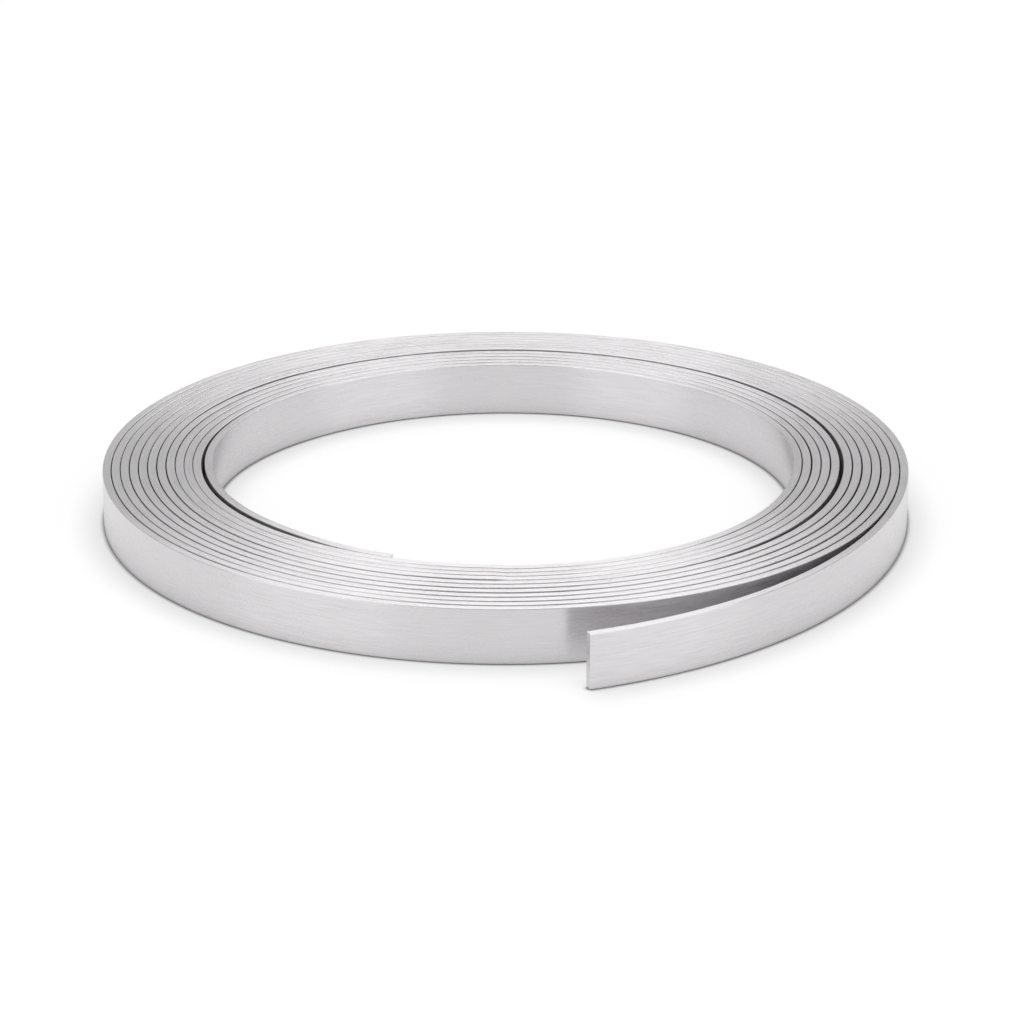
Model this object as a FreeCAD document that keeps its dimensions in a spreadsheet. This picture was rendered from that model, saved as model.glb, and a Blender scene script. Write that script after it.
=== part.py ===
"""Coil of aluminium flat bar, lying on the narrow edges of the bar.

The coil is one turned solid with an open bore. Its turns show on both ends as rounded bar edges
with a narrow space between neighbours, and a thin web at mid height joins them. The turns lie in
three bundles: the innermost turn, the turns round it, and the outer turns. Each bundle sits off the
axis of the one inside it, so a crescent of daylight opens between the two on one side and closes on
the other. The innermost turn ends at a slit. The outer end of the bar springs away from the coil.

Origin: on the bore's axis, at the level that the coil lies on. +Z is up, along the bore.
Bearings are in degrees, counterclockwise from +X as seen from above.
"""
import FreeCAD, Part
import Sketcher
import math
import os

NODE = "flat_bar_coil"

# alias: (value in millimetres or degrees, what it is)
SIZES = {
    "bar_width": (20.0, "width of the bar, which stands upright in the coil"),
    "bar_thickness": (3.0, "thickness of the bar"),
    "edge_radius": (0.3, "rounding along the four long edges of the bar"),
    "turn_gap": (0.38, "space between neighbouring turns of a bundle"),
    "bore_radius": (105.0, "radius of the bore, to the face of the innermost turn"),
    "web_height": (4.0, "height of the web that joins the turns at mid height"),
    "middle_shift": (0.9, "how far the middle bundle sits off the innermost turn's axis"),
    "middle_bearing": (-150.0, "direction in which the middle bundle sits off"),
    "outer_shift": (1.3, "how far the outer bundle sits off the middle bundle's axis"),
    "outer_bearing": (-30.0, "direction in which the outer bundle sits off"),
    "tail_bearing": (-3.0, "where the outer end leaves the coil"),
    "tail_spring": (34.5, "how much larger the outer end's radius is than the outer turn's"),
    "tail_sweep": (67.0, "angle of the outer end's arc"),
    "slit_bearing": (-112.0, "where the innermost turn ends"),
    "slit_angle": (1.2, "angle of the slit between the innermost turn's two ends"),
}
INNERMOST_TURNS = 1
MIDDLE_TURNS = 4
OUTER_TURNS = 7

# formulas on the sheet
PITCH = "(sizes.bar_thickness + sizes.turn_gap)"
MID_TURN = "sizes.bar_thickness / 2"
WEB_FOOT = "((sizes.bar_width - sizes.web_height) / 2)"


class Axis:
    """An upright axis that a stretch of bar is turned about, as formulas for its X and Y."""

    def __init__(self, along_x="0", along_y="0"):
        self.along_x = along_x
        self.along_y = along_y

    def moved(self, distance, bearing):
        """The axis that lies a distance away in a direction."""
        return Axis(
            f"({self.along_x} + {distance} * cos({bearing} * 1deg))",
            f"({self.along_y} + {distance} * sin({bearing} * 1deg))",
        )


def make_sheet(doc):
    """Write the sizes into a spreadsheet, a row each, and give each value its alias."""
    sheet = doc.addObject("Spreadsheet::Sheet", "sizes")
    for row, (alias, (number, meaning)) in enumerate(SIZES.items(), start=1):
        sheet.set(f"A{row}", meaning)
        sheet.set(f"B{row}", str(number))
        sheet.setAlias(f"B{row}", alias)
    doc.recompute()
    return sheet


def number(sheet, expression):
    """What a formula on the sheet gives."""
    return float(sheet.evalExpression(expression))


def radial_sketch(body, sheet, name, axis, bearing):
    """An empty sketch on the upright half plane that starts at an axis and points along a bearing.

    The sketch's vertical axis is the axis to turn about, its X is the radius and its Y is height.
    """
    sketch = body.newObject("Sketcher::SketchObject", name)
    planes = body.Origin.OriginFeatures
    upright = next(plane for plane in planes if plane.Role == "XZ_Plane")
    sketch.AttachmentSupport = [(upright, "")]
    sketch.MapMode = "FlatFace"
    place = FreeCAD.Vector(number(sheet, axis.along_x), 0, -number(sheet, axis.along_y))
    turn = FreeCAD.Rotation(FreeCAD.Vector(0, 1, 0), number(sheet, bearing))
    sketch.AttachmentOffset = FreeCAD.Placement(place, turn)
    sketch.setExpression("AttachmentOffset.Base.x", axis.along_x)
    sketch.setExpression("AttachmentOffset.Base.z", f"-1 * {axis.along_y}")
    if bearing != "0":
        sketch.setExpression("AttachmentOffset.Rotation.Angle", f"{bearing} * 1deg")
    return sketch


def bind(sketch, sheet, kind, *places, to):
    """Add a dimension to a sketch and bind it to a formula on the sheet."""
    index = sketch.addConstraint(Sketcher.Constraint(kind, *places, number(sheet, to)))
    sketch.setExpression(f"Constraints[{index}]", f"{to} * 1mm")


def draw_rectangle(sketch, sheet, near, far, foot, head):
    """Draw a plain rectangle between two radii and two heights, all given as formulas."""
    left, right = number(sheet, near), number(sheet, far)
    low, high = number(sheet, foot), number(sheet, head)
    corners = [(left, low), (right, low), (right, high), (left, high)]
    points = [FreeCAD.Vector(x, y, 0) for x, y in corners]
    for side in range(4):
        sketch.addGeometry(Part.LineSegment(points[side], points[(side + 1) % 4]))
    for side in range(4):
        sketch.addConstraint(Sketcher.Constraint("Coincident", side, 2, (side + 1) % 4, 1))
    for side, direction in enumerate(["Horizontal", "Vertical", "Horizontal", "Vertical"]):
        sketch.addConstraint(Sketcher.Constraint(direction, side))
    bind(sketch, sheet, "DistanceX", -1, 1, 0, 1, to=near)
    bind(sketch, sheet, "DistanceX", -1, 1, 0, 2, to=far)
    bind(sketch, sheet, "DistanceY", -1, 1, 0, 1, to=foot)
    bind(sketch, sheet, "DistanceY", -1, 1, 2, 1, to=head)


def draw_bar_section(sketch, sheet, near):
    """Draw the bar's section, a rectangle with rounded corners that stands on the sketch's X."""
    left = number(sheet, near)
    right = left + number(sheet, "sizes.bar_thickness")
    high = number(sheet, "sizes.bar_width")
    curve = number(sheet, "sizes.edge_radius")
    # each side runs from the end of one corner to the start of the next
    sides = [
        ((left + curve, 0), (right - curve, 0)),
        ((right, curve), (right, high - curve)),
        ((right - curve, high), (left + curve, high)),
        ((left, high - curve), (left, curve)),
    ]
    centres = [
        (right - curve, curve),
        (right - curve, high - curve),
        (left + curve, high - curve),
        (left + curve, curve),
    ]
    for side in range(4):
        start, end = (FreeCAD.Vector(x, y, 0) for x, y in sides[side])
        sketch.addGeometry(Part.LineSegment(start, end))
        centre = FreeCAD.Vector(*centres[side], 0)
        circle = Part.Circle(centre, FreeCAD.Vector(0, 0, 1), curve)
        first = math.radians(90 * (side - 1))
        sketch.addGeometry(Part.ArcOfCircle(circle, first, first + math.pi / 2))
    for side in range(4):
        line, corner, following = 2 * side, 2 * side + 1, (2 * side + 2) % 8
        sketch.addConstraint(Sketcher.Constraint("Tangent", line, 2, corner, 1))
        sketch.addConstraint(Sketcher.Constraint("Tangent", corner, 2, following, 1))
    for line, direction in [(0, "Horizontal"), (2, "Vertical"), (4, "Horizontal"), (6, "Vertical")]:
        sketch.addConstraint(Sketcher.Constraint(direction, line))
    for corner in (3, 5, 7):
        sketch.addConstraint(Sketcher.Constraint("Equal", 1, corner))
    sketch.addConstraint(Sketcher.Constraint("PointOnObject", 0, 1, -1))
    bind(sketch, sheet, "Radius", 1, to="sizes.edge_radius")
    bind(sketch, sheet, "DistanceX", -1, 1, 6, 1, to=near)
    bind(sketch, sheet, "DistanceX", 6, 1, 2, 1, to="sizes.bar_thickness")
    bind(sketch, sheet, "DistanceY", 0, 1, 4, 1, to="sizes.bar_width")


def turn(body, kind, sketch, name, sweep="360", clockwise=False):
    """Turn a sketch about its own vertical axis, to add to the solid or to cut from it."""
    before = body.Shape.Volume if body.Tip else 0.0
    feature = body.newObject(f"PartDesign::{kind}", name)
    feature.Profile = sketch
    feature.ReferenceAxis = (sketch, ["V_Axis"])
    feature.Reversed = clockwise
    feature.setExpression("Angle", f"{sweep} * 1deg")
    body.Document.recompute()
    change = body.Shape.Volume - before
    if (change <= 0) == (kind == "Revolution"):
        raise RuntimeError(f"{name} changes the volume by {change:.1f}, which is the wrong way")
    return feature


def add_bar(body, sheet, name, axis, near, bearing="0", sweep="360", clockwise=False):
    """A stretch of bar: its section, turned about an axis through an angle."""
    sketch = radial_sketch(body, sheet, f"{name}_section", axis, bearing)
    draw_bar_section(sketch, sheet, near)
    turn(body, "Revolution", sketch, name, sweep, clockwise)


class Bundle:
    """Turns on one axis, and the radius that the web which joins them runs out to.

    The rim lies a turn gap past the last turn. The web ends inside the last turn, or at the rim if
    another bundle goes round this one.
    """

    def __init__(self, name, count, axis, face):
        self.name = name
        self.count = count
        self.axis = axis
        self.face = face
        self.rim = f"({face} + {count} * {PITCH})"
        self.web_end = f"({self.turn_face(count - 1)} + {MID_TURN})"

    def turn_face(self, index):
        """Radius of a turn's inner face."""
        return f"({self.face} + {index} * {PITCH})"

    def round_it(self, name, count, shift, bearing):
        """The next bundle outwards, which sits off this one's axis.

        On the closed side of the crescent its first turn meets this bundle's rim, half a turn gap
        deep, and clears this bundle's last turn by the other half.
        """
        self.web_end = self.rim
        face = f"({self.rim} + {shift} - sizes.turn_gap / 2)"
        return Bundle(name, count, self.axis.moved(shift, bearing), face)


def add_bundle(body, sheet, bundle):
    """The first turn of a bundle, then the web from inside that turn outwards, then the other turns."""
    for index in range(bundle.count):
        add_bar(body, sheet, f"{bundle.name}_turn_{index + 1}", bundle.axis, bundle.turn_face(index))
        if index == 0:
            web = radial_sketch(body, sheet, f"{bundle.name}_web_section", bundle.axis, "0")
            near = f"({bundle.face} + {MID_TURN})"
            draw_rectangle(web, sheet, near, bundle.web_end, WEB_FOOT, f"({WEB_FOOT} + sizes.web_height)")
            turn(body, "Revolution", web, f"{bundle.name}_web")


def slit_innermost_turn(body, sheet, bundle):
    """Cut the innermost turn through at one bearing, so that it has two ends."""
    sketch = radial_sketch(body, sheet, "slit_section", bundle.axis, "sizes.slit_bearing")
    near = f"({bundle.face} - sizes.turn_gap)"
    head = "(sizes.bar_width + sizes.turn_gap)"
    draw_rectangle(sketch, sheet, near, bundle.rim, "(-1 * sizes.turn_gap)", head)
    turn(body, "Groove", sketch, "slit", "sizes.slit_angle", clockwise=True)


def spring_outer_end(body, sheet, bundle):
    """Give the outermost turn the end that springs away from the coil."""
    axis = bundle.axis.moved("(-1 * sizes.tail_spring)", "sizes.tail_bearing")
    face = f"({bundle.turn_face(bundle.count - 1)} + sizes.tail_spring)"
    add_bar(body, sheet, "outer_end", axis, face, "sizes.tail_bearing", "sizes.tail_sweep", clockwise=True)


def make_coil(doc, sheet):
    """The whole coil, as one body."""
    body = doc.addObject("PartDesign::Body", "coil")
    body.Label = NODE
    body.Placement = FreeCAD.Placement()

    innermost = Bundle("innermost", INNERMOST_TURNS, Axis(), "sizes.bore_radius")
    middle = innermost.round_it("middle", MIDDLE_TURNS, "sizes.middle_shift", "sizes.middle_bearing")
    outer = middle.round_it("outer", OUTER_TURNS, "sizes.outer_shift", "sizes.outer_bearing")
    add_bundle(body, sheet, innermost)
    slit_innermost_turn(body, sheet, innermost)
    add_bundle(body, sheet, middle)
    add_bundle(body, sheet, outer)
    spring_outer_end(body, sheet, outer)
    return body


def check(doc, body):
    """Stop if any object failed or the solid isn't sound."""
    for item in doc.Objects:
        if "Invalid" in item.State or "Error" in item.State:
            raise RuntimeError(f"{item.Name} failed: {item.State}")
    shape = body.Shape
    if shape.isNull() or not shape.isValid():
        raise RuntimeError("the coil's shape isn't sound")
    if len(shape.Solids) != 1:
        raise RuntimeError(f"the coil is {len(shape.Solids)} solids, and should be one")


def main():
    doc = FreeCAD.newDocument("flat_bar_coil")
    sheet = make_sheet(doc)
    body = make_coil(doc, sheet)
    doc.recompute()
    check(doc, body)
    os.makedirs("parts", exist_ok=True)
    body.Shape.exportStep(f"parts/{body.Label}.step")
    box = body.Shape.optimalBoundingBox()
    print(f"volume {body.Shape.Volume:.0f} mm3, faces {len(body.Shape.Faces)}")
    print(f"box {box.XMin:.2f} {box.YMin:.2f} {box.ZMin:.2f} to {box.XMax:.2f} {box.YMax:.2f} {box.ZMax:.2f}")


main()
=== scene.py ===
"""Coil of aluminium flat bar: the wound bar, its mill finish, and a plain studio around it."""
import math

import bmesh
import bpy
from mathutils import Matrix, Vector, noise


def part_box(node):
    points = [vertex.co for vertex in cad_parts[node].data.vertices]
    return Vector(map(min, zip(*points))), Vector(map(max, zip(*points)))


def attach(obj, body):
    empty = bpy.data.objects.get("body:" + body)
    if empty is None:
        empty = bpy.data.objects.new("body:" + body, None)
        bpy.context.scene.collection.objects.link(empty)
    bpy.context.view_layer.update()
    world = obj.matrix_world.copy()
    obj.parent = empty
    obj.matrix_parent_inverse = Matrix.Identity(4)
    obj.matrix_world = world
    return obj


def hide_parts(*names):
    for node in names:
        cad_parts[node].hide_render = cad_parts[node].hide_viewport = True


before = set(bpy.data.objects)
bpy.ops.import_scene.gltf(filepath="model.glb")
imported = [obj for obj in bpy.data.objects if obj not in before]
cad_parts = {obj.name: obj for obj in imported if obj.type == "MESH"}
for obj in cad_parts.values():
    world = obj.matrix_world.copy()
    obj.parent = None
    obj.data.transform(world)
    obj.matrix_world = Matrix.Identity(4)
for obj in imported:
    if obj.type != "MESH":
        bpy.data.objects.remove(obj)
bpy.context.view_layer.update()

bl_info = {
    "name": "Flat Bar Coil",
    "version": (1, 0, 0),
    "blender": (4, 5, 0),
    "location": "View3D > Sidebar > Coil",
    "description": "Winds a flat bar into a loose coil, gives it a mill finish and sets up a studio",
    "category": "Object",
}

NODE = "flat_bar_coil"
FULL_TURN = 360.0
GRAIN_MAP = "grain"
UNEVEN_SPAN = 75.0  # degrees of winding over which the gaps vary
SLACK_FALL = 2.5  # how fast the outer turns' slack falls off towards the sides
CLIMB_ANGLE = 50.0  # degrees past the sprung end over which the next turn takes its place
CORNER_HOLD = 1.3  # how far from a corner its holding points lie, in edge radii

# Bearings in degrees, at which the gaps change.
BACK_SLACK = (110, 180, 260)  # the inner turns' wider gaps start, are widest and end
LEFT_SQUEEZE = (35, 70, 130)  # the inner turns' narrower gaps start, are narrowest and end
CRESCENT_RISE = (95, 155)  # the crescent opens
CRESCENT_NARROWS = (195, 265)  # it goes from its width at the back to that at the right
CRESCENT_FALL = (303, 352)  # it closes
INNER_BOW = (24, 52, 125)  # the inner end leaves the next turn, stands furthest off and comes back

# The finish's three noises, as cycles a metre along the bar and round it.
SCRATCHES = (90, 1500)
BANDS = (22, 380)
PATCHES = (16, 50)

# How far each noise spreads the tone and the roughness.
SCRATCH_TONE = (-0.05, 0.05)
BAND_TONE = (-0.02, 0.02)
PATCH_TONE = (0.985, 1.015)
SCRATCH_GLOSS = (-0.03, 0.03)
BAND_GLOSS = (-0.02, 0.02)
PATCH_GLOSS = (-0.02, 0.02)
NOISE_MIDDLE = (0.3, 0.7)  # the part of a noise's range that is spread
BUMP_STRENGTH = 0.12
BUMP_DEPTH = 0.00002
ALONG_GRAIN = 0.25  # turn of the stretched reflections, so that they lie across the grain

# The floor's two painted shades, cut out of its glow by occlusion: a wide soft one round the coil, and a thin
# dark line of painted shade under its edge.
WIDE_SHADE_REACH = 0.014
CONTACT_REACH = 0.0022
CONTACT_RANGE = (0.5, 0.9)
SHADE_SAMPLES = 8

# Each lamp's name, place, side and power.
LAMPS = (
    ("back_lamp", (0, 1.3, 1.5), 1.3, 9),
    ("left_lamp", (-1.5, -1.1, 0.9), 1.8, 10),
    ("right_lamp", (1.5, -1.1, 0.9), 1.8, 10),
)
AIM_OFFSET = (0.00236, -0.003, 0)  # the point that the camera looks at, from the coil's centre
SENSOR_WIDTH = 36

low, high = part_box(NODE)


def smooth_step(value, start, end):
    """0 before start, 1 after end, and a smooth rise between them."""
    share = min(max((value - start) / (end - start), 0.0), 1.0)
    return share * share * (3 - 2 * share)


def rise_and_fall(value, start, top, end):
    """0 outside start and end, 1 at top, and smooth between them."""
    return smooth_step(value, start, top) * (1 - smooth_step(value, top, end))


class CoilSettings(bpy.types.PropertyGroup):
    """Sizes of the bar and of the way it is wound. Bearings run clockwise from the front."""

    bar_width: bpy.props.FloatProperty(
        name="Bar Width", description="Height of the bar, which stands on its edge",
        default=high.z - low.z, min=0.001, unit="LENGTH",
    )
    bar_thickness: bpy.props.FloatProperty(
        name="Bar Thickness", description="Thickness of the bar", default=0.003, min=0.0005, unit="LENGTH",
    )
    edge_radius: bpy.props.FloatProperty(
        name="Edge Radius", description="Rounding along the four long edges",
        default=0.0003, min=0.00005, unit="LENGTH",
    )
    outer_radius: bpy.props.FloatProperty(
        name="Outer Radius", description="Radius of the coil, to the face of its outermost turn",
        default=0.14695, min=0.01, unit="LENGTH",
    )
    centre_x: bpy.props.FloatProperty(
        name="Centre X", description="How far the outer turns sit off the bore's axis, to the right",
        default=0.00035, unit="LENGTH",
    )
    centre_y: bpy.props.FloatProperty(
        name="Centre Y", description="How far the outer turns sit off the bore's axis, to the back",
        default=-0.0011, unit="LENGTH",
    )
    least_gap: bpy.props.FloatProperty(
        name="Least Gap", description="Mean gap between the outer turns at the back, where they lie tightest",
        default=0.0002, min=0.0, unit="LENGTH",
    )
    front_slack: bpy.props.FloatProperty(
        name="Front Slack", description="How much wider the outer turns' gaps are at the front",
        default=0.00085, min=0.0, unit="LENGTH",
    )
    slack_bearing: bpy.props.FloatProperty(
        name="Slack Bearing", description="Where the outer turns lie loosest, in degrees", default=-8.0,
    )
    inner_gap: bpy.props.FloatProperty(
        name="Inner Gap", description="Mean gap between the inner turns", default=0.00045, min=0.0,
        unit="LENGTH",
    )
    inner_slack: bpy.props.FloatProperty(
        name="Inner Slack", description="How much wider the inner turns' gaps are round the back",
        default=0.0002, min=0.0, unit="LENGTH",
    )
    inner_squeeze: bpy.props.FloatProperty(
        name="Inner Squeeze", description="How much narrower the inner turns' gaps are at the left",
        default=0.0003, min=0.0, unit="LENGTH",
    )
    unevenness: bpy.props.FloatProperty(
        name="Unevenness", description="How much the gaps vary along the bar", default=0.55,
        min=0.0, max=1.0, subtype="FACTOR",
    )
    tip_bearing: bpy.props.FloatProperty(
        name="Inner Tip Bearing", description="Where the bar's inner end is, in degrees", default=22.0,
    )
    spring_bearing: bpy.props.FloatProperty(
        name="Spring Bearing", description="Where the outer end leaves the coil, in degrees", default=273.0,
    )
    full_turns: bpy.props.IntProperty(
        name="Full Turns", description="Whole turns between the inner tip and the outer end",
        default=11, min=1,
    )
    inner_turns: bpy.props.IntProperty(
        name="Inner Turns", description="Turns that lie inside the crescent", default=5, min=1,
    )
    tail_radius: bpy.props.FloatProperty(
        name="Tail Radius", description="Radius of the outer end's arc, at the middle of the bar",
        default=0.180, min=0.01, unit="LENGTH",
    )
    tail_sweep: bpy.props.FloatProperty(
        name="Tail Sweep", description="Angle of the outer end's arc, in degrees", default=66.95,
    )
    back_gap: bpy.props.FloatProperty(
        name="Back Gap", description="Width of the crescent between the two bundles, along the back",
        default=0.0016, min=0.0, unit="LENGTH",
    )
    side_gap: bpy.props.FloatProperty(
        name="Side Gap", description="Width of the crescent at the right", default=0.0011, min=0.0,
        unit="LENGTH",
    )
    bow_depth: bpy.props.FloatProperty(
        name="Bow Depth", description="How far the inner end bows into the bore",
        default=0.00175, min=0.0, unit="LENGTH",
    )
    station_angle: bpy.props.FloatProperty(
        name="Station Angle", description="Angle between neighbouring sections of the mesh, in degrees",
        default=2.0, min=0.2,
    )


class FinishSettings(bpy.types.PropertyGroup):
    """Look of the bar's mill finish."""

    colour: bpy.props.FloatVectorProperty(
        name="Colour", description="Colour of the bare metal", subtype="COLOR", size=3,
        default=(0.715, 0.700, 0.712), min=0.0, max=1.0,
    )
    roughness: bpy.props.FloatProperty(
        name="Roughness", description="Mean roughness of the finish", default=0.29, min=0.0, max=1.0,
    )
    directional: bpy.props.FloatProperty(
        name="Directional", description="How much the grain stretches reflections", default=0.85,
        min=0.0, max=1.0, subtype="FACTOR",
    )


class StudioSettings(bpy.types.PropertyGroup):
    """Camera, floor and lamps."""

    camera_distance: bpy.props.FloatProperty(
        name="Camera Distance", description="From the lens to the middle of the coil",
        default=1.542, unit="LENGTH",
    )
    camera_elevation: bpy.props.FloatProperty(
        name="Camera Elevation", description="Height of the camera above the floor, as an angle",
        default=math.radians(20.78), unit="ROTATION", subtype="ANGLE",
    )
    focal_length: bpy.props.FloatProperty(
        name="Focal Length", description="Focal length of the lens, in millimetres", default=147.44,
    )
    floor_size: bpy.props.FloatProperty(
        name="Floor Size", description="Side of the square floor", default=14.0, unit="LENGTH",
    )
    floor_tone: bpy.props.FloatProperty(
        name="Floor Tone", description="Grey of the floor", default=0.36, min=0.0, max=1.0,
    )
    shade_depth: bpy.props.FloatProperty(
        name="Shade Depth", description="How much the floor darkens round the coil", default=0.55,
        min=0.0, max=1.0, subtype="FACTOR",
    )
    floor_glow: bpy.props.FloatProperty(
        name="Floor Glow", description="Light added to the floor where the camera or the metal sees it",
        default=0.70, min=0.0,
    )
    mirrored_floor: bpy.props.FloatProperty(
        name="Mirrored Floor", description="Share of the floor's glow that the metal sees", default=0.95,
        min=0.0, max=1.0, subtype="FACTOR",
    )
    room_light: bpy.props.FloatProperty(
        name="Room Light", description="Strength of the even light from all round", default=0.58, min=0.0,
    )


class WoundPath:
    """The line that the middle of the bar follows, seen from above.

    A place on the bar is the angle wound since the inner tip. The turns lie against each other, so
    a place's radius is the coil's, less the thickness and the gap of every turn that lies outside it.
    """

    def __init__(self, coil):
        self.coil = coil
        self.centre = Vector((coil.centre_x, coil.centre_y, 0))
        self.wound = FULL_TURN * coil.full_turns + coil.spring_bearing - coil.tip_bearing

    def bearing(self, angle):
        """Where a place on the bar lies, in degrees clockwise from the front."""
        return (self.coil.tip_bearing + angle) % FULL_TURN

    def turns_inside(self, angle):
        """How many turns lie inside a place, counted from the front."""
        return (self.coil.tip_bearing + angle) // FULL_TURN

    def slack(self, angle):
        """The ordinary gap between a place and the turn inside it, which is uneven along the bar."""
        coil = self.coil
        bearing = self.bearing(angle)
        if self.turns_inside(angle) < coil.inner_turns:
            gap = coil.inner_gap + coil.inner_slack * rise_and_fall(bearing, *BACK_SLACK)
            gap -= coil.inner_squeeze * rise_and_fall(bearing, *LEFT_SQUEEZE)
        else:
            near = (1 + math.cos(math.radians(bearing - coil.slack_bearing))) / 2
            gap = coil.least_gap + coil.front_slack * near ** SLACK_FALL
        wave = noise.noise(Vector((angle / UNEVEN_SPAN, 0.5, 0.5)))
        return gap * (1 + coil.unevenness * wave)

    def gap(self, angle):
        """The whole gap between a place and the turn inside it."""
        coil = self.coil
        bearing = self.bearing(angle)
        turns = self.turns_inside(angle)
        gap = self.slack(angle)
        if turns == coil.inner_turns:
            width = coil.back_gap + (coil.side_gap - coil.back_gap) * smooth_step(bearing, *CRESCENT_NARROWS)
            gap += width * smooth_step(bearing, *CRESCENT_RISE) * (1 - smooth_step(bearing, *CRESCENT_FALL))
        if turns == 1:
            gap += coil.bow_depth * rise_and_fall(bearing, *INNER_BOW)
        return gap

    def radius(self, angle):
        """Radius of the bar's middle at a place, about the coil's centre.

        Just past the sprung end the turn below is the outermost, and it climbs to take the place.
        """
        coil = self.coil
        turns_outside = int((self.wound - angle) // FULL_TURN)
        to_go = self.wound - angle - FULL_TURN * turns_outside
        step = coil.bar_thickness + self.gap(self.wound)
        radius = coil.outer_radius - step * (1 - smooth_step(FULL_TURN - to_go, 0, CLIMB_ANGLE))
        for turn in range(1, turns_outside + 1):
            radius -= coil.bar_thickness + self.gap(angle + FULL_TURN * turn)
        return radius - coil.bar_thickness / 2

    def stations(self):
        """Points along the bar, from the inner tip to the outer end."""
        coil = self.coil
        count = round(self.wound / coil.station_angle)
        points = []
        for index in range(count + 1):
            angle = self.wound * index / count
            bearing = math.radians(coil.tip_bearing + angle)
            outwards = Vector((-math.sin(bearing), -math.cos(bearing), 0))
            points.append(self.centre + outwards * self.radius(angle))
        last = math.radians(coil.spring_bearing)
        outwards = Vector((-math.sin(last), -math.cos(last), 0))
        middle = points[-1] - outwards * coil.tail_radius
        steps = round(coil.tail_sweep / coil.station_angle)
        for index in range(1, steps + 1):
            bearing = last + math.radians(coil.tail_sweep) * index / steps
            outwards = Vector((-math.sin(bearing), -math.cos(bearing), 0))
            points.append(middle + outwards * coil.tail_radius)
        return points


def headings(points):
    """The bar's direction at each point, from its neighbours."""
    found = []
    for index in range(len(points)):
        before = points[max(index - 1, 0)]
        after = points[min(index + 1, len(points) - 1)]
        found.append((after - before).normalized())
    return found


def place(point, heading):
    """The matrix that stands a section, drawn in the XZ plane, across the bar at a point."""
    across = Vector((-heading.y, heading.x, 0))
    columns = Matrix((across, heading, Vector((0, 0, 1)))).transposed()
    return Matrix.Translation(point) @ columns.to_4x4()


def draw_section(shape, coil):
    """The bar's section as one face in the XZ plane: a rectangle with rounded corners.

    A point just past each rounding keeps the wide faces flat in shading.
    """
    half, full = coil.bar_thickness / 2, coil.bar_width
    hold = coil.edge_radius * CORNER_HOLD
    outline = [
        (-half, 0), (hold - half, 0), (half - hold, 0),
        (half, 0), (half, hold), (half, full - hold),
        (half, full), (half - hold, full), (hold - half, full),
        (-half, full), (-half, full - hold), (-half, hold),
    ]
    verts = [shape.verts.new((x, 0, z)) for x, z in outline]
    shape.faces.new(verts)
    bmesh.ops.bevel(
        shape, geom=verts[::3], affect="VERTICES", offset=coil.edge_radius, offset_type="OFFSET",
        segments=3, profile=0.5, material=-1,
    )


def mark_girth(shape, girth):
    """Write on each vertex of the section how far round it lies, and return the whole way round."""
    shape.faces.ensure_lookup_table()
    face = shape.faces[0]
    corner = min(face.loops, key=lambda loop: loop.vert.co.z * 10 + loop.vert.co.x)
    distance = 0.0
    for _ in range(len(face.loops)):
        corner.vert[girth] = distance
        distance += corner.edge.calc_length()
        corner = corner.link_loop_next
    return distance


def sweep_bar(shape, coil, along):
    """Extrude the section from station to station, write the length so far on each vertex, and return it."""
    points = WoundPath(coil).stations()
    directions = headings(points)
    places = [place(point, heading) for point, heading in zip(points, directions)]
    bmesh.ops.transform(shape, matrix=places[0], verts=shape.verts[:])
    rim = shape.edges[:]
    length = 0.0
    for index in range(1, len(points)):
        length += (points[index] - points[index - 1]).length
        grown = bmesh.ops.extrude_edge_only(shape, edges=rim)["geom"]
        verts = [part for part in grown if isinstance(part, bmesh.types.BMVert)]
        fresh = set(verts)
        rim = [
            part for part in grown
            if isinstance(part, bmesh.types.BMEdge) and part.verts[0] in fresh and part.verts[1] in fresh
        ]
        bmesh.ops.transform(shape, matrix=places[index] @ places[index - 1].inverted(), verts=verts)
        for vert in verts:
            vert[along] = length
    bmesh.ops.contextual_create(shape, geom=rim)
    return length


def map_grain(shape, along, girth, round_length):
    """Unroll the bar into a UV map, in metres: X along the bar, Y round its section."""
    layer = shape.loops.layers.uv.new(GRAIN_MAP)
    for face in shape.faces:
        if len(face.verts) > 4:
            first = face.verts[0].co
            for corner in face.loops:
                offset = (corner.vert.co - first).xy.length
                corner[layer].uv = (corner.vert[along] + offset, corner.vert.co.z)
            continue
        rounds = [corner.vert[girth] for corner in face.loops]
        wraps = max(rounds) - min(rounds) > round_length / 2
        for corner, distance in zip(face.loops, rounds):
            if wraps and distance < round_length / 2:
                distance += round_length
            corner[layer].uv = (corner.vert[along], distance)


def new_piece(name, shape, material):
    """An object of the scene from a finished bmesh."""
    mesh = bpy.data.meshes.new(name)
    shape.to_mesh(mesh)
    shape.free()
    mesh.materials.append(material)
    piece = bpy.data.objects.new(name, mesh)
    bpy.context.scene.collection.objects.link(piece)
    return piece


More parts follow.
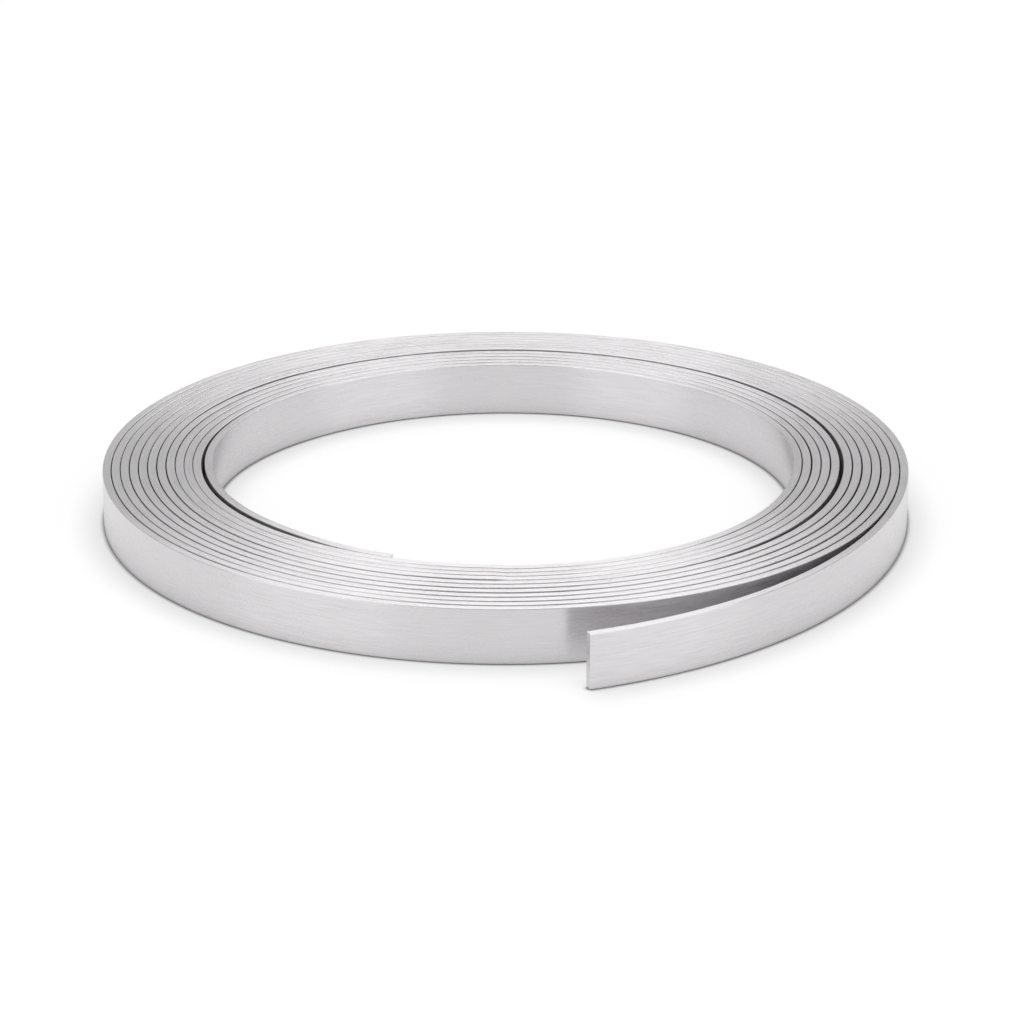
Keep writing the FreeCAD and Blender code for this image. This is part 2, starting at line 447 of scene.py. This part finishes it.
class Nodes:
    """Short calls for building a material's node tree."""

    def __init__(self, tree):
        self.tree = tree

    def add(self, kind, **settings):
        node = self.tree.nodes.new(kind)
        for name, value in settings.items():
            setattr(node, name, value)
        return node

    def link(self, source, target):
        self.tree.links.new(source, target)

    def noise(self, vector, stretch, detail):
        """Noise on the grain map, stretched to so many cycles a metre along and round the bar."""
        mapping = self.add("ShaderNodeMapping")
        mapping.inputs["Scale"].default_value = (*stretch, 1)
        self.link(vector, mapping.inputs["Vector"])
        texture = self.add("ShaderNodeTexNoise")
        texture.inputs["Scale"].default_value = 1
        texture.inputs["Detail"].default_value = detail
        self.link(mapping.outputs["Vector"], texture.inputs["Vector"])
        return texture.outputs["Fac"]

    def map_range(self, value, first, last, lowest, highest):
        node = self.add("ShaderNodeMapRange")
        for name, number in zip(("From Min", "From Max", "To Min", "To Max"), (first, last, lowest, highest)):
            node.inputs[name].default_value = number
        self.link(value, node.inputs["Value"])
        return node.outputs["Result"]

    def spread(self, value, lowest, highest):
        """Spread the middle of a noise over a range."""
        return self.map_range(value, *NOISE_MIDDLE, lowest, highest)

    def occlusion(self, distance, first, last, lowest, highest):
        """How open a place is within a distance, with the stretch from first to last spread over a range."""
        node = self.add("ShaderNodeAmbientOcclusion", samples=SHADE_SAMPLES)
        node.inputs["Distance"].default_value = distance
        return self.map_range(node.outputs["AO"], first, last, lowest, highest)

    def mix(self, kind, first, second):
        """A math node of two values, of which the second may be a plain number."""
        node = self.add("ShaderNodeMath", operation=kind)
        self.link(first, node.inputs[0])
        if isinstance(second, float):
            node.inputs[1].default_value = second
        else:
            self.link(second, node.inputs[1])
        return node.outputs["Value"]


def mill_finish(finish):
    """Bare rolled aluminium: short fine scratches along the bar, with soft patches in its sheen."""
    material = bpy.data.materials.new("mill_aluminium")
    material.use_nodes = True
    nodes = Nodes(material.node_tree)
    shader = material.node_tree.nodes["Principled BSDF"]
    shader.inputs["Metallic"].default_value = 1.0
    shader.inputs["Anisotropic"].default_value = finish.directional
    shader.inputs["Anisotropic Rotation"].default_value = ALONG_GRAIN

    grain_map = nodes.add("ShaderNodeUVMap", uv_map=GRAIN_MAP).outputs["UV"]
    scratches = nodes.noise(grain_map, SCRATCHES, 3)
    bands = nodes.noise(grain_map, BANDS, 3)
    patches = nodes.noise(grain_map, PATCHES, 2)

    tone = nodes.mix("ADD", nodes.spread(scratches, *SCRATCH_TONE), nodes.spread(bands, *BAND_TONE))
    tone = nodes.mix("ADD", tone, nodes.spread(patches, *PATCH_TONE))
    tinted = nodes.add("ShaderNodeMix", data_type="RGBA", blend_type="MULTIPLY")
    tinted.inputs["Factor"].default_value = 1.0
    tinted.inputs["A"].default_value = (*finish.colour, 1)
    nodes.link(tone, tinted.inputs["B"])
    nodes.link(tinted.outputs["Result"], shader.inputs["Base Color"])

    gloss = nodes.mix("ADD", nodes.spread(bands, *BAND_GLOSS), nodes.spread(patches, *PATCH_GLOSS))
    gloss = nodes.mix("ADD", gloss, nodes.spread(scratches, *SCRATCH_GLOSS))
    gloss = nodes.mix("ADD", gloss, finish.roughness)
    nodes.link(gloss, shader.inputs["Roughness"])

    bump = nodes.add("ShaderNodeBump")
    bump.inputs["Strength"].default_value = BUMP_STRENGTH
    bump.inputs["Distance"].default_value = BUMP_DEPTH
    nodes.link(scratches, bump.inputs["Height"])
    nodes.link(bump.outputs["Normal"], shader.inputs["Normal"])

    tangent = nodes.add("ShaderNodeTangent", direction_type="UV_MAP", uv_map=GRAIN_MAP)
    nodes.link(tangent.outputs["Tangent"], shader.inputs["Tangent"])
    return material


class COIL_OT_wind_bar(bpy.types.Operator):
    """Wind the bar into its coil, from the inner tip to the sprung outer end"""

    bl_idname = "coil.wind_bar"
    bl_label = "Wind Bar"

    def execute(self, context):
        coil = context.scene.coil
        shape = bmesh.new()
        along = shape.verts.layers.float.new("along")
        girth = shape.verts.layers.float.new("girth")
        draw_section(shape, coil)
        round_length = mark_girth(shape, girth)
        length = sweep_bar(shape, coil, along)
        map_grain(shape, along, girth, round_length)
        bmesh.ops.recalc_face_normals(shape, faces=shape.faces[:])
        for face in shape.faces:
            face.smooth = len(face.verts) == 4
            if not face.smooth:
                for edge in face.edges:
                    edge.smooth = False
        bar = new_piece("wound_bar", shape, mill_finish(context.scene.coil_finish))
        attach(bar, "root")
        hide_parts(NODE)
        print(f"bar length {length:.3f} m, {len(bar.data.polygons)} faces")
        return {"FINISHED"}


def floor_material(studio):
    """A pale matt floor that shows white to the camera and in the metal; its glow carries painted shade round
    the coil and is dark in narrow gaps.
    """
    material = bpy.data.materials.new("pale_floor")
    material.use_nodes = True
    nodes = Nodes(material.node_tree)
    material.node_tree.nodes.clear()
    matt = nodes.add("ShaderNodeBsdfDiffuse")
    matt.inputs["Color"].default_value = (studio.floor_tone, studio.floor_tone, studio.floor_tone, 1)
    rays = nodes.add("ShaderNodeLightPath")
    mirrored = nodes.mix("MULTIPLY", rays.outputs["Is Glossy Ray"], studio.mirrored_floor)
    seen = nodes.mix("ADD", rays.outputs["Is Camera Ray"], mirrored)
    seen = nodes.mix("ADD", seen, rays.outputs["Is Transmission Ray"])
    # painted shade: occlusion darkens the floor's glow round the coil and in a thin line under its edge, and
    # the metal sees this in its reflections
    wide_shade = nodes.occlusion(WIDE_SHADE_REACH, 0, 1, 1 - studio.shade_depth, 1)
    painted_contact_shade = nodes.occlusion(CONTACT_REACH, *CONTACT_RANGE, 0, 1)
    shade = nodes.mix("MULTIPLY", wide_shade, painted_contact_shade)
    glow = nodes.add("ShaderNodeEmission")
    nodes.link(nodes.mix("MULTIPLY", shade, studio.floor_glow), glow.inputs["Color"])
    nodes.link(seen, glow.inputs["Strength"])
    both = nodes.add("ShaderNodeAddShader")
    nodes.link(matt.outputs["BSDF"], both.inputs[0])
    nodes.link(glow.outputs["Emission"], both.inputs[1])
    output = nodes.add("ShaderNodeOutputMaterial")
    nodes.link(both.outputs["Shader"], output.inputs["Surface"])
    return material


def pale_world(studio):
    """Even light from all round, white where the camera sees past the floor."""
    world = bpy.data.worlds.new("studio")
    world.use_nodes = True
    nodes = Nodes(world.node_tree)
    background = world.node_tree.nodes["Background"]
    background.inputs["Color"].default_value = (1, 1, 1, 1)
    rays = nodes.add("ShaderNodeLightPath")
    strength = nodes.add("ShaderNodeMapRange")
    strength.inputs["To Min"].default_value = studio.room_light
    strength.inputs["To Max"].default_value = 1.0
    nodes.link(rays.outputs["Is Camera Ray"], strength.inputs["Value"])
    nodes.link(strength.outputs["Result"], background.inputs["Strength"])
    bpy.context.scene.world = world


def soft_lamp(name, position, target, size, power):
    """A square lamp that faces a target."""
    lamp = bpy.data.lights.new(name, "AREA")
    lamp.shape = "SQUARE"
    lamp.size = size
    lamp.energy = power
    holder = bpy.data.objects.new(name, lamp)
    bpy.context.scene.collection.objects.link(holder)
    holder.location = position
    holder.rotation_euler = (target - Vector(position)).to_track_quat("-Z", "Y").to_euler()


class COIL_OT_set_studio(bpy.types.Operator):
    """Lay the floor, hang the lamps and place the camera"""

    bl_idname = "coil.set_studio"
    bl_label = "Set Studio"

    def execute(self, context):
        studio = context.scene.coil_studio
        coil = context.scene.coil
        middle = Vector((coil.centre_x, coil.centre_y, 0))

        shape = bmesh.new()
        bmesh.ops.create_grid(shape, x_segments=1, y_segments=1, size=studio.floor_size / 2)
        floor = new_piece("floor", shape, floor_material(studio))
        pale_world(studio)
        for name, position, size, power in LAMPS:
            soft_lamp(name, position, middle, size, power)

        lens = bpy.data.cameras.new("camera")
        lens.lens = studio.focal_length
        lens.sensor_width = SENSOR_WIDTH
        camera = bpy.data.objects.new("camera", lens)
        context.scene.collection.objects.link(camera)
        lift = studio.camera_elevation
        back = Vector((0, -math.cos(lift), math.sin(lift)))
        camera.location = middle + back * studio.camera_distance
        aim = middle + Vector(AIM_OFFSET)
        camera.rotation_euler = (aim - camera.location).to_track_quat("-Z", "Y").to_euler()
        context.scene.camera = camera
        context.scene.view_settings.view_transform = "Standard"
        return {"FINISHED"}


class COIL_PT_panel(bpy.types.Panel):
    """Sizes, finish and studio of the coil"""

    bl_idname = "COIL_PT_panel"
    bl_label = "Flat Bar Coil"
    bl_space_type = "VIEW_3D"
    bl_region_type = "UI"
    bl_category = "Coil"

    def draw(self, context):
        layout = self.layout
        scene = context.scene
        for settings in (scene.coil, scene.coil_finish, scene.coil_studio):
            box = layout.box()
            for name in settings.__annotations__:
                box.prop(settings, name)
        layout.operator(COIL_OT_wind_bar.bl_idname)
        layout.operator(COIL_OT_set_studio.bl_idname)


CLASSES = (
    CoilSettings,
    FinishSettings,
    StudioSettings,
    COIL_OT_wind_bar,
    COIL_OT_set_studio,
    COIL_PT_panel,
)


def register():
    for entry in CLASSES:
        bpy.utils.register_class(entry)
    bpy.types.Scene.coil = bpy.props.PointerProperty(type=CoilSettings)
    bpy.types.Scene.coil_finish = bpy.props.PointerProperty(type=FinishSettings)
    bpy.types.Scene.coil_studio = bpy.props.PointerProperty(type=StudioSettings)


def unregister():
    del bpy.types.Scene.coil_studio
    del bpy.types.Scene.coil_finish
    del bpy.types.Scene.coil
    for entry in reversed(CLASSES):
        bpy.utils.unregister_class(entry)


def main():
    register()
    bpy.ops.coil.set_studio()
    bpy.ops.coil.wind_bar()


if __name__ == "__main__":
    main()
